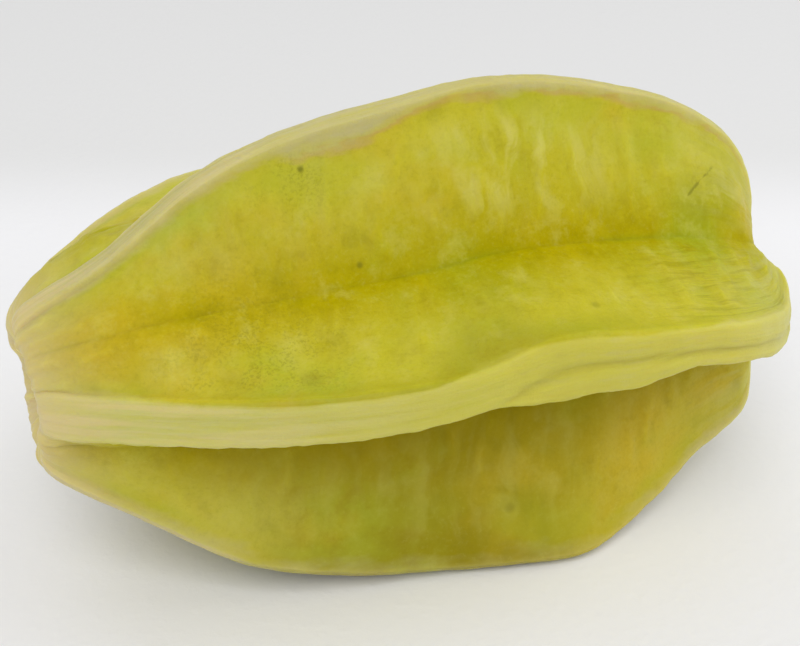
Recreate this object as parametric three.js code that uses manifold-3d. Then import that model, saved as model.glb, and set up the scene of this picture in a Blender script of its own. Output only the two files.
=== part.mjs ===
// A star fruit (carambola), lying on two of its five ribs.
// Millimetres. +X runs along the fruit to its stem end, -Y is the front rib's side, +Z is up.
// The fruit is one piece: five ribs grow out of one core, each with a flat narrow crest, and the
// skin runs from crest to crest through a groove. Both ends draw in to the fruit's own axis.
import * as THREE from 'three';
import { mergeVertices } from 'three/addons/utils/BufferGeometryUtils.js';
import Module from 'manifold-3d';

// Places along a rib's crest: from the blossom scar out over the tip, along the belly,
// round the shoulder and down into the stem cavity.
const STATIONS = [-54.5, -56, -59.5, -48, -34, -20, -6, 6, 17, 28, 39, 49, 55, 52.5, 52];
const TIP = 2;
const SHOULDER = 12;

// turn: the way the crest points, in degrees up from -Y, round the fruit's axis.
// tip, shoulder: how far its blossom tip and stem shoulder lie from their stations, along +X.
// height: the crest's distance from the axis at each station.
// sway: how far the crest bends sideways there, towards the next rib.
// width: its crest's width, as a share of CREST_HALF_WIDTH.
// lip: the width of the fold under the crest, where the rib has one.
// undercut: how much the groove after this rib cuts in under the next rib, from 0 to 1.
const RIBS = [
  {
    name: 'front', turn: 16, tip: 0.4, shoulder: -0.7, width: 1, lip: 4.5, undercut: 0,
    height: [0, 3.5, 12, 21.5, 28.5, 33, 35.5, 36, 35.5, 34, 31, 22.5, 12, 4, 0],
    sway: [0, 0, 0, -0.5, -1.5, -1.8, -0.8, 2.4, 1.6, 0.2, -1.6, -3, 0, 0, 0],
  },
  {
    name: 'top', turn: 88, tip: -0.8, shoulder: -0.8, width: 0.6, lip: 0, undercut: 0,
    height: [0, 3.5, 12, 20.5, 30, 34, 36.6, 37.8, 37.1, 34.5, 30.5, 23.2, 12, 4, 0],
    sway: [0, 0, 0, -1.6, -0.7, 1.2, 0.7, 1.3, 1.1, 0.7, 0.4, 0.2, 0, 0, 0],
  },
  {
    name: 'back', turn: 152, tip: -1.4, shoulder: 0, width: 0.75, lip: 0, undercut: 0,
    height: [0, 3.5, 12.5, 25, 32.2, 34.2, 35.5, 36, 35, 33, 30, 23, 12, 4, 0],
    sway: [0, 0, 0, 0.4, 0.2, -0.4, -0.6, 0, 0.6, 0.8, 0.4, 0, 0, 0, 0],
  },
  {
    name: 'heel', turn: 233, tip: -0.5, shoulder: 0, width: 0.9, lip: 0, undercut: 0,
    height: [0, 3.5, 11.5, 22.5, 30.5, 35.8, 38.2, 39, 38.7, 36, 30.5, 23, 12, 4, 0],
    sway: [0, 0, 0, 0, 0.5, 0.6, 0, -0.5, -0.4, 0.2, 0.5, 0, 0, 0, 0],
  },
  {
    name: 'foot', turn: 306, tip: 0, shoulder: -2.2, width: 0.9, lip: 0, undercut: 1,
    height: [0, 3.5, 11, 20.5, 30.2, 34.9, 37.3, 38.9, 39.2, 34.9, 28.6, 22.8, 11.5, 4, 0],
    sway: [0, 0, 0, 0, -0.5, -1, -0.7, 1.1, 2.2, 0.8, -0.4, 0, 0, 0, 0],
  },
];

// The grooves between the ribs: their own places along the fruit, and their distance from the
// axis as a share of the neighbouring crests' height.
const GROOVE_STATIONS = [-54.5, -56, -59.7, -49, -34, -20, -6, 6, 17, 28, 39, 48.5, 53.2, 52.4, 52];
const GROOVE_SHARES = [1, 1, 0.99, 0.87, 0.67, 0.57, 0.54, 0.53, 0.53, 0.53, 0.53, 0.55, 0.66, 1, 1];

// An undercut groove: how far it turns towards the next rib, in degrees, the share of its radius
// that it loses, and where along the fruit it opens and closes.
const UNDERCUT = { turn: 11, deepening: 0.2 };
const UNDERCUT_OPENS = { start: -66, length: 12 };
const UNDERCUT_CLOSES = { start: 40, length: 14 };

// Half the crest's width: wider towards the blossom end, narrower towards the stem end. It shrinks
// with the rib where the rib is lower than FULL_HEIGHT, as its rounded edges do.
const CREST_HALF_WIDTH = { blossom: 3.3, stem: 2 };
const CREST_NARROWS = { start: -25, length: 50 };
const CREST_ROUNDING = 1.3;
const CREST_ROUNDING_POWER = 3;
const FULL_HEIGHT = 14;

// The fold under a crest: where it opens, thins and closes along the fruit, how far its lower edge
// is set back as a share of its width, and the crease that parts it from the crest.
const LIP_OPENS = { start: -6, length: 13 };
const LIP_THINS = { start: 16, length: 12, to: 0.5 };
const LIP_CLOSES = { start: 48, length: 8 };
const LIP_SET_BACK = 0.22;
const CREASE = { depth: 0.6, perLip: 0.3, width: 0.09 };

// A flank's handles, as shares of the rib's depth at the crest and of the groove's radius.
const SHOULDER_DROP = 0.34;
const SHOULDER_BULGE = 0.1;
const FILLET_REACH = 0.12;
const FILLET_LIFT = 0.05;

// The depth that lying flattens off the two lowest crests.
const REST_FLAT = 0.6;

// How finely the skin is divided: sections along it, and steps over a crest and down a flank.
const SECTIONS = 56;
const CREST_STEPS = 4;
const FLANK_STEPS = 4;

const SKIN_COLOUR = 0xb9b43a;
const SKIN_ROUGHNESS = 0.42;

const rise = (value, { start, length }) => THREE.MathUtils.smoothstep(value, start, start + length);
const outwards = (turn) => new THREE.Vector3(0, -Math.cos(turn), Math.sin(turn));
const sideways = (turn) => new THREE.Vector3(0, Math.sin(turn), Math.cos(turn));
const onAxis = (place) => new THREE.Vector3(place, 0, 0);

/** A smooth curve whose points hold place along the fruit, height over the axis, and sway. */
function outline(places, heights, sways) {
  const points = places.map((place, i) => new THREE.Vector3(place, heights[i], sways[i]));
  return new THREE.CatmullRomCurve3(points, false, 'catmullrom', 0.5);
}

function crestOutline(rib) {
  const places = [...STATIONS];
  places[TIP] += rib.tip;
  places[SHOULDER] += rib.shoulder;
  return outline(places, rib.height, rib.sway);
}

function crestHalfWidth(place) {
  const { blossom, stem } = CREST_HALF_WIDTH;
  return THREE.MathUtils.lerp(blossom, stem, rise(place, CREST_NARROWS));
}

function lipWidth(rib, place) {
  const thinning = 1 - (1 - LIP_THINS.to) * rise(place, LIP_THINS);
  return rib.lip * rise(place, LIP_OPENS) * thinning * (1 - rise(place, LIP_CLOSES));
}

/** One rib's crest at a share of the way along: its directions, its two edges and its profile. */
function crestAt(rib, curve, share) {
  const turn = THREE.MathUtils.degToRad(rib.turn);
  const { x: place, y: height, z: sway } = curve.getPoint(share);
  const [out, side] = [outwards(turn), sideways(turn)];
  const size = THREE.MathUtils.clamp(height / FULL_HEIGHT, 0, 1);
  const halfWidth = crestHalfWidth(place) * rib.width * size;
  const rounding = CREST_ROUNDING * size;
  const lip = lipWidth(rib, place);
  const edge = (offset, setBack) => onAxis(place)
    .addScaledVector(out, height - rounding - setBack)
    .addScaledVector(side, sway + offset);
  return {
    height, out, side, rounding,
    heading: turn + sway / Math.max(height, 10),
    lower: edge(-halfWidth - lip, lip * LIP_SET_BACK),
    upper: edge(halfWidth, 0),
    crease: {
      at: lip / Math.max(2 * halfWidth + lip, 1),
      depth: Math.min(CREASE.depth, lip * CREASE.perLip),
    },
  };
}

/** The groove between two neighbouring crests: its point, its radius and its directions. */
function grooveAt(crest, next, undercut, curve, share) {
  const { x: place, y: depthShare } = curve.getPoint(share);
  const cut = undercut * rise(place, UNDERCUT_OPENS) * (1 - rise(place, UNDERCUT_CLOSES));
  const wrap = next.heading < crest.heading ? 2 * Math.PI : 0;
  const middle = (crest.heading + next.heading + wrap) / 2;
  const heading = middle + THREE.MathUtils.degToRad(UNDERCUT.turn * cut);
  const height = (crest.height + next.height) / 2;
  const radius = height * Math.min(depthShare, 1) * (1 - UNDERCUT.deepening * cut);
  const out = outwards(heading);
  return { point: onAxis(place).addScaledVector(out, radius), radius, out, side: sideways(heading) };
}

/** The flank from a crest's edge down to a groove; towards is 1 for the next rib's side, else -1. */
function flank(crest, edge, groove, towards) {
  const depth = Math.max(edge.clone().sub(groove.point).dot(crest.out), 0);
  const shoulder = edge.clone()
    .addScaledVector(crest.out, -SHOULDER_DROP * depth)
    .addScaledVector(crest.side, towards * SHOULDER_BULGE * depth);
  const fillet = groove.point.clone()
    .addScaledVector(groove.side, -towards * FILLET_REACH * groove.radius)
    .addScaledVector(groove.out, FILLET_LIFT * groove.radius);
  return new THREE.CubicBezierCurve3(edge, shoulder, fillet, groove.point).getPoints(FLANK_STEPS);
}

/** The points over a crest between its edges: flat on top, rounded off at the sides, creased. */
function crestTop(crest) {
  return Array.from({ length: CREST_STEPS - 1 }, (_, i) => {
    const across = -Math.cos((Math.PI * (i + 1)) / CREST_STEPS);
    const share = (1 + across) / 2;
    const power = CREST_ROUNDING_POWER;
    const crown = crest.rounding * (1 - Math.abs(across) ** power) ** (1 / power);
    const crease = crest.crease.depth * Math.exp(-(((share - crest.crease.at) / CREASE.width) ** 2));
    return crest.lower.clone()
      .lerp(crest.upper, share)
      .addScaledVector(crest.out, crown - crease);
  });
}

/** The closed ring of skin points round the fruit at one share of the way along. */
function ringAt(crestCurves, grooveCurve, share) {
  const crests = RIBS.map((rib, i) => crestAt(rib, crestCurves[i], share));
  const grooves = crests.map((crest, i) => (
    grooveAt(crest, crests[(i + 1) % crests.length], RIBS[i].undercut, grooveCurve, share)
  ));
  return crests.flatMap((crest, i) => [
    ...flank(crest, crest.lower, grooves.at(i - 1), -1).reverse(),
    ...crestTop(crest),
    ...flank(crest, crest.upper, grooves[i], 1).slice(0, -1),
  ]);
}

/** The whole skin: rings joined by triangles, drawn in to one point at each end. */
function skinGeometry() {
  const crestCurves = RIBS.map(crestOutline);
  const grooveCurve = outline(GROOVE_STATIONS, GROOVE_SHARES, GROOVE_STATIONS.map(() => 0));
  const rings = Array.from({ length: SECTIONS - 1 }, (_, i) => (
    ringAt(crestCurves, grooveCurve, (i + 1) / SECTIONS)
  ));
  const around = rings[0].length;
  const lastRing = (rings.length - 1) * around;
  const blossom = rings.length * around;
  const stem = blossom + 1;
  const triangles = [];
  for (let j = 0; j < around; j += 1) {
    const k = (j + 1) % around;
    triangles.push(blossom, j, k);
    triangles.push(stem, lastRing + k, lastRing + j);
    for (let ring = 0; ring < lastRing; ring += around) {
      const [a, b] = [ring + j, ring + k];
      triangles.push(a, b + around, b, a, a + around, b + around);
    }
  }
  const points = [...rings.flat(), onAxis(STATIONS[0]), onAxis(STATIONS.at(-1))];
  const geometry = new THREE.BufferGeometry().setFromPoints(points);
  geometry.setIndex(triangles);
  return geometry;
}

/** A solid for joining and cutting, from a closed geometry. */
function solidOf(wasm, geometry) {
  const bare = geometry.clone();
  bare.deleteAttribute('normal');
  bare.deleteAttribute('uv');
  const merged = mergeVertices(bare, 1e-4);
  return new wasm.Manifold(new wasm.Mesh({
    numProp: 3,
    vertProperties: new Float32Array(merged.attributes.position.array),
    triVerts: new Uint32Array(merged.index.array),
  }));
}

function geometryOf(solid) {
  const mesh = solid.getMesh();
  const geometry = new THREE.BufferGeometry();
  geometry.setAttribute('position', new THREE.BufferAttribute(mesh.vertProperties, 3));
  geometry.setIndex(new THREE.BufferAttribute(mesh.triVerts, 1));
  return geometry;
}

/** Cuts the lowest crests flat, as they lie, then stands the fruit on z = 0, centred. */
function layDown(wasm, geometry) {
  geometry.computeBoundingBox();
  const { min, max } = geometry.boundingBox;
  const size = max.x - min.x;
  const ground = new THREE.BoxGeometry(2 * size, 2 * size, size);
  ground.translate(0, 0, min.z + REST_FLAT - size / 2);
  const lying = geometryOf(solidOf(wasm, geometry).subtract(solidOf(wasm, ground)));
  lying.computeBoundingBox();
  const middle = lying.boundingBox.getCenter(new THREE.Vector3());
  lying.translate(-middle.x, -middle.y, -lying.boundingBox.min.z);
  lying.computeVertexNormals();
  return lying;
}

const wasm = await Module();
wasm.setup();

const skin = new THREE.MeshStandardMaterial({
  color: SKIN_COLOUR,
  roughness: SKIN_ROUGHNESS,
  metalness: 0,
});

const fruit = new THREE.Mesh(layDown(wasm, skinGeometry()), skin);
fruit.name = 'star_fruit';

const starFruit = new THREE.Group();
starFruit.add(fruit);

export default starFruit;
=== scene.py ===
"""A star fruit lying on two of its ribs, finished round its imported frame.

The skin is lofted by Geometry Nodes over guide lines that follow the five ribs and the grooves
between them, at the same sizes as the construction model. It is dressed with one procedural skin
finish, and stands on a pale floor in soft studio light.
"""

import logging
import math
from dataclasses import dataclass
from enum import IntEnum
from typing import Any, Callable, Iterator, Sequence

import bpy
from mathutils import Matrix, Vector

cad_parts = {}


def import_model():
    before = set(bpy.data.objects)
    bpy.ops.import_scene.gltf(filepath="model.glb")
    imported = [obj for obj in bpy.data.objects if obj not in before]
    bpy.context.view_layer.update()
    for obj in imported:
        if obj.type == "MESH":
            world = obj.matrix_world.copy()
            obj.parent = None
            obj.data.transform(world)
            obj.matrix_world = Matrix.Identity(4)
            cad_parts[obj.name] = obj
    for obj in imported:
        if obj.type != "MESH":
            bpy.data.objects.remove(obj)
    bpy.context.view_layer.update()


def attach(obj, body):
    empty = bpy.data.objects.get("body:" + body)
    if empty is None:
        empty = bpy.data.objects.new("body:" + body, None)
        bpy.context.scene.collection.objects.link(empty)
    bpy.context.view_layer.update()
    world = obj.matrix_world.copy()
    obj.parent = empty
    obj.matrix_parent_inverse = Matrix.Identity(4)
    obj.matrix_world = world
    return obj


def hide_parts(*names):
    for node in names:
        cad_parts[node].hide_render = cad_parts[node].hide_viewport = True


MM = 0.001
FRAME_WIDTH = 800
SPOT_CORE = 0.15
FAR_OFF = 1000.0
# A Mix node's two inputs and its result, by number, for each kind of value.
MIX_SOCKETS = {"VECTOR": (4, 5, 1), "RGBA": (6, 7, 2)}
log = logging.getLogger("star_fruit")

Link = "Wire | float | int | Sequence[float]"
Colour = tuple[float, float, float, float]
Coats = "Iterator[tuple[Link, Link]]"
Pair = tuple[float, float]
# What Wire.rise and Wire.ramp take: start, end and, where they aren't 0 and 1, the values there.
Step = tuple[float, ...]
# What Wire.hill takes: foot, top, top_end, far_foot and, where it isn't 1, the height.
Hill = tuple[float, ...]


def operator(operation: str, swapped: bool = False) -> "Callable[[Wire, Link], Wire]":
    """Makes a method of Wire.

    Args:
        operation: The Math node's operation that it does.
        swapped: Whether the other value comes first.

    Returns:
        The method.
    """

    def apply(wire: "Wire", other: Link) -> "Wire":
        """Adds the operation's node."""
        return wire.maths(operation, *((other, wire) if swapped else (wire, other)))

    return apply


class Wire:
    """A node socket that ordinary arithmetic can be written with.

    least and most are the smaller and the larger of two values, and % is never negative.
    """

    __add__ = __radd__ = operator("ADD")
    __sub__ = operator("SUBTRACT")
    __rsub__ = operator("SUBTRACT", swapped=True)
    __mul__ = __rmul__ = operator("MULTIPLY")
    __truediv__ = operator("DIVIDE")
    __pow__ = operator("POWER")
    __mod__ = operator("FLOORED_MODULO")
    __gt__ = operator("GREATER_THAN")
    least = operator("MINIMUM")
    most = operator("MAXIMUM")

    def __init__(self, nodes: "Nodes", socket: bpy.types.NodeSocket) -> None:
        """Wraps one output socket of a node in that tree."""
        self.nodes = nodes
        self.socket = socket

    @property
    def is_vector(self) -> bool:
        """Whether the socket carries three numbers."""
        return self.socket.type in {"VECTOR", "RGBA"}

    def maths(self, operation: str, *values: Link) -> "Wire":
        """Adds the Math node for an operation, or the Vector Math node of the same name.

        Args:
            operation: The node's operation.
            values: What it works on, in order.

        Returns:
            The node's result.
        """
        kind = "ShaderNodeMath"
        if any(isinstance(value, Wire) and value.is_vector for value in values):
            kind = "ShaderNodeVectorMath"
            values = tuple((value,) * 3 if isinstance(value, (int, float)) else value for value in values)
        return self.nodes.add(kind, {"operation": operation}, dict(enumerate(values)))

    def does(self, operation: str) -> "Wire":
        """Returns a Math operation that takes only this value, such as FLOOR or COSINE."""
        return self.maths(operation, self)

    def dot(self, other: Link) -> "Wire":
        """Returns the dot product of two vectors."""
        settings = {"operation": "DOT_PRODUCT"}
        return self.nodes.add("ShaderNodeVectorMath", settings, {0: self, 1: other}, "Value")

    def _map(self, kind: str, start: Link, end: Link, low: Link, high: Link) -> "Wire":
        """Maps start to low and end to high, level beyond them."""
        sockets = {"Value": self, "From Min": start, "From Max": end, "To Min": low, "To Max": high}
        return self.nodes.add("ShaderNodeMapRange", {"interpolation_type": kind}, sockets)

    def rise(self, start: Link, end: Link, low: Link = 0.0, high: Link = 1.0) -> "Wire":
        """Returns low before start, high after end, and a smooth step between them."""
        return self._map("SMOOTHSTEP", start, end, low, high)

    def ramp(self, start: Link, end: Link, low: Link = 0.0, high: Link = 1.0) -> "Wire":
        """Returns low before start, high after end, and a straight line between them."""
        return self._map("LINEAR", start, end, low, high)

    def hill(self, foot: Link, top: Link, top_end: Link, far_foot: Link, height: Link = 1.0) -> "Wire":
        """Returns 0 before foot and after far_foot, and height from top to top_end."""
        return self.rise(foot, top) * self.rise(top_end, far_foot, height, 0.0)


class Nodes:
    """A node tree that is built by naming each node, its settings and its sockets."""

    def __init__(self, tree: bpy.types.NodeTree) -> None:
        """Wraps an empty tree."""
        self.tree = tree

    def make(
        self, kind: str, settings: dict[str, Any] | None = None, sockets: dict[Any, Any] | None = None
    ) -> bpy.types.Node:
        """Adds one node.

        Args:
            kind: The node's type.
            settings: Its properties, set first.
            sockets: The values or links of its inputs, by name or number.

        Returns:
            The node.
        """
        node = self.tree.nodes.new(kind)
        for name, value in (settings or {}).items():
            setattr(node, name, value)
        for name, value in (sockets or {}).items():
            if isinstance(value, Wire):
                self.tree.links.new(value.socket, node.inputs[name])
            else:
                node.inputs[name].default_value = value
        return node

    def add(
        self,
        kind: str,
        settings: dict[str, Any] | None = None,
        sockets: dict[Any, Any] | None = None,
        output: str | int = 0,
    ) -> Wire:
        """Adds one node, as make does, and returns the output named or numbered."""
        return Wire(self, self.make(kind, settings, sockets).outputs[output])

    def blend(self, low: Link, high: Link, share: Link, kind: str = "VECTOR") -> Wire:
        """Mixes two vectors or two colours.

        Args:
            low: The value where share is 0.
            high: The value where share is 1.
            share: How much of high there is.
            kind: VECTOR, or RGBA for colours.

        Returns:
            The mixed value.
        """
        first, second, result = MIX_SOCKETS[kind]
        sockets = {0: share, first: low, second: high}
        return self.add("ShaderNodeMix", {"data_type": kind}, sockets, result)

    def vector(self, x: Link, y: Link, z: Link) -> Wire:
        """Joins three numbers into a vector."""
        return self.add("ShaderNodeCombineXYZ", None, {0: x, 1: y, 2: z})

    def parts(self, vector: Wire) -> tuple[Wire, Wire, Wire]:
        """Takes a vector apart into its three numbers."""
        node = self.make("ShaderNodeSeparateXYZ", None, {0: vector})
        return Wire(self, node.outputs[0]), Wire(self, node.outputs[1]), Wire(self, node.outputs[2])

    def noise(self, where: Wire, scale: float, detail: float, roughness: float) -> Wire:
        """Returns smooth noise, 0 to 1, at those places."""
        sockets = {"Vector": where, "Scale": scale, "Detail": detail, "Roughness": roughness}
        return self.add("ShaderNodeTexNoise", None, sockets)


def new_object(name: str, data: bpy.types.ID) -> bpy.types.Object:
    """Puts a new object in the scene.

    Args:
        name: Its name.
        data: Its mesh, light or camera.

    Returns:
        The object.
    """
    made = bpy.data.objects.new(name, data)
    bpy.context.collection.objects.link(made)
    return made


class GrowthNodes(Nodes):
    """A Geometry Nodes tree with named inputs."""

    def __init__(self, name: str) -> None:
        """Makes an empty tree with a geometry output.

        Args:
            name: The tree's name.
        """
        super().__init__(bpy.data.node_groups.new(name, "GeometryNodeTree"))
        self.tree.interface.new_socket("Geometry", in_out="OUTPUT", socket_type="NodeSocketGeometry")
        self.group = self.tree.nodes.new("NodeGroupInput")
        self.values: dict[str, Any] = {}

    def given(self, name: str, value: float | int | None = None) -> Wire:
        """Adds a named input.

        Args:
            name: The input's name.
            value: What the modifier sets it to, or None for the geometry that it takes.

        Returns:
            The input's value inside the tree.
        """
        kind = {int: "Int", float: "Float"}.get(type(value), "Geometry")
        socket = self.tree.interface.new_socket(name, in_out="INPUT", socket_type=f"NodeSocket{kind}")
        if value is not None:
            self.values[socket.identifier] = value
        return Wire(self, self.group.outputs[name])

    def attribute(self, name: str, kind: str = "FLOAT") -> Wire:
        """Reads a named attribute."""
        return self.add("GeometryNodeInputNamedAttribute", {"data_type": kind}, {"Name": name})

    def store(self, geometry: Wire, name: str, value: Wire) -> Wire:
        """Writes a number on each point under that name."""
        sockets = {"Geometry": geometry, "Name": name, "Value": value}
        return self.add("GeometryNodeStoreNamedAttribute", {"data_type": "FLOAT"}, sockets)

    def finish(self, geometry: Wire, material: bpy.types.Material) -> None:
        """Ends the tree: real geometry only, smooth, in its material.

        Args:
            geometry: What the tree has made.
            material: What it is dressed in.
        """
        real = self.add("GeometryNodeRealizeInstances", None, {"Geometry": geometry})
        smooth = self.add("GeometryNodeSetShadeSmooth", None, {"Geometry": real})
        dressed = self.add("GeometryNodeSetMaterial", None, {"Geometry": smooth, "Material": material})
        end = self.tree.nodes.new("NodeGroupOutput")
        self.tree.links.new(dressed.socket, end.inputs[0])

    def apply_to(self, guides: bpy.types.Object, name: str) -> bpy.types.Object:
        """Runs the tree on guide geometry and keeps the result as a plain mesh.

        Args:
            guides: The object that holds the guides, which is removed.
            name: The new object's name.

        Returns:
            The new object, at the origin.
        """
        modifier = guides.modifiers.new("grow", "NODES")
        modifier.node_group = self.tree
        for identifier, value in self.values.items():
            modifier[identifier] = value
        depsgraph = bpy.context.evaluated_depsgraph_get()
        mesh = bpy.data.meshes.new_from_object(guides.evaluated_get(depsgraph), depsgraph=depsgraph)
        mesh.name = name
        bpy.data.objects.remove(guides)
        return new_object(name, mesh)


@dataclass(frozen=True)
class Grain:
    """A smooth noise: how fine it is over its places, its detail and its roughness."""

    fineness: float | tuple[float, float, float] = 1.0
    detail: float = 2.0
    roughness: float = 0.5

    def at(self, n: Nodes, place: Wire) -> Wire:
        """Lays the noise over a surface.

        Args:
            n: The tree.
            place: The place on the surface, in any units.

        Returns:
            The noise there, from 0 to 1.
        """
        if isinstance(self.fineness, tuple):
            return n.noise(place * self.fineness, 1.0, self.detail, self.roughness)
        return n.noise(place, self.fineness, self.detail, self.roughness)

    def swing(self, n: Nodes, place: Wire) -> Wire:
        """Returns the same noise from -0.5 to 0.5."""
        return self.at(n, place) - 0.5


@dataclass(frozen=True)
class Rib:
    """One rib of the fruit, in millimetres, at the stations that all ribs share.

    turn is the way its crest points, in degrees up from -Y; tip and shoulder are how far its ends
    lie from their stations, along +X; width is its crest's, as a share of the usual one; lip is
    the width of the fold under its crest; undercut is how much the groove after it cuts in under
    the next rib, from 0 to 1.
    """

    turn: float
    height: tuple[float, ...]
    sway: tuple[float, ...]
    tip: float = 0.0
    shoulder: float = 0.0
    width: float = 1.0
    lip: float = 0.0
    undercut: float = 0.0


@dataclass(frozen=True)
class Span:
    """A stretch along the fruit over which something changes, in millimetres."""

    start: float
    length: float

    def rise(self, place: float, low: float = 0.0, high: float = 1.0) -> float:
        """Returns low before this stretch, high after it, and a smooth step between them."""
        share = min(max((place - self.start) / self.length, 0.0), 1.0)
        return low + (high - low) * share * share * (3 - 2 * share)


def curve_point(knots: Sequence[Vector], share: float) -> Vector:
    """Follows a smooth curve through knots.

    Args:
        knots: The points that it passes, at even shares of the way.
        share: How far along it the point is, from 0 to 1.

    Returns:
        The point.
    """
    spans = len(knots) - 1
    first = min(int(share * spans), spans - 1)
    part = share * spans - first
    start, end = knots[first], knots[first + 1]
    before = knots[first - 1] if first else 2 * start - end
    after = knots[first + 2] if first + 2 <= spans else 2 * end - start
    leaving, arriving = (end - before) / 2, (after - start) / 2
    square, cube = part**2, part**3
    return (
        (2 * cube - 3 * square + 1) * start
        + (cube - 2 * square + part) * leaving
        + (3 * square - 2 * cube) * end
        + (cube - square) * arriving
    )


def outwards(heading: float) -> Vector:
    """Returns the direction away from the fruit's axis at a heading, in radians up from -Y."""
    return Vector((0, -math.cos(heading), math.sin(heading)))


def sideways(heading: float) -> Vector:
    """Returns the direction round the axis at a heading, towards the next rib."""
    return Vector((0, math.sin(heading), math.cos(heading)))


@dataclass(frozen=True)
class Crest:
    """A rib's crest where one section cuts it, in millimetres."""

    height: float
    heading: float
    out: Vector
    side: Vector
    lower: Vector
    upper: Vector
    rounding: float
    crease_at: float
    crease_depth: float


@dataclass(frozen=True)
class Groove:
    """The groove between two ribs where one section cuts it, in millimetres."""

    point: Vector
    radius: float
    out: Vector
    side: Vector


class SkinGrid:
    """The flat sheet that the skin is drawn from, and where each of its points belongs.

    upper_half is 1 on the half of a rib nearer the next rib, else 0. over runs from 0 to 1 across
    a crest, and down from 0 at the crest's edge to 1 in the groove.
    """

    def __init__(self, n: GrowthNodes, sections: int, ribs: int, crest_steps: int, flank_steps: int) -> None:
        """Makes the sheet.

        Args:
            n: The tree, whose named inputs these sizes become.
            sections: The steps along the fruit.
            ribs: The number of ribs.
            crest_steps: The steps across a crest.
            flank_steps: The steps down a flank.
        """
        self.n = n
        self.guides = n.given("Guides")
        along_steps = n.given("Sections", sections)
        over_steps = n.given("Crest Steps", crest_steps)
        down_steps = n.given("Flank Steps", flank_steps)
        rib_count = n.given("Ribs", ribs)
        per_rib = down_steps * 2 + over_steps
        columns = per_rib * rib_count + 1
        grid_size = {"Vertices X": along_steps + 1, "Vertices Y": columns}
        self.sheet = n.add("GeometryNodeMeshGrid", None, grid_size)

        index = n.add("GeometryNodeInputIndex")
        section = (index / columns).does("FLOOR")
        column = index - section * columns
        sector = (column / per_rib).does("FLOOR")
        local = column - sector * per_rib
        lower_down = 1 - local / down_steps
        upper_down = (local - down_steps - over_steps) / down_steps
        self.rib = sector % rib_count
        self.along = section / along_steps
        self.upper_half = local > down_steps + over_steps / 2
        self.over = (local - down_steps) / over_steps
        self.down = lower_down.most(upper_down).most(0)
        self.own_row = section * rib_count + self.rib
        self.groove_row = section * rib_count + (self.rib + self.upper_half - 1) % rib_count

    @property
    def towards(self) -> Wire:
        """Returns 1 on the half nearer the next rib, else -1."""
        return self.upper_half * 2 - 1

    @property
    def on_flank(self) -> Wire:
        """Returns 1 off the crest, else 0."""
        return self.down > 0

    def guide(self, name: str, row: Wire, kind: str = "FLOAT_VECTOR") -> Wire:
        """Reads an attribute of the guides.

        Args:
            name: The attribute.
            row: The guide point that it is read at.
            kind: The attribute's type.

        Returns:
            The attribute's value.
        """
        values = self.n.attribute(name, kind)
        sockets = {"Geometry": self.guides, "Value": values, "Index": row + 0.5}
        return self.n.add("GeometryNodeSampleIndex", {"data_type": kind}, sockets)


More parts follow.
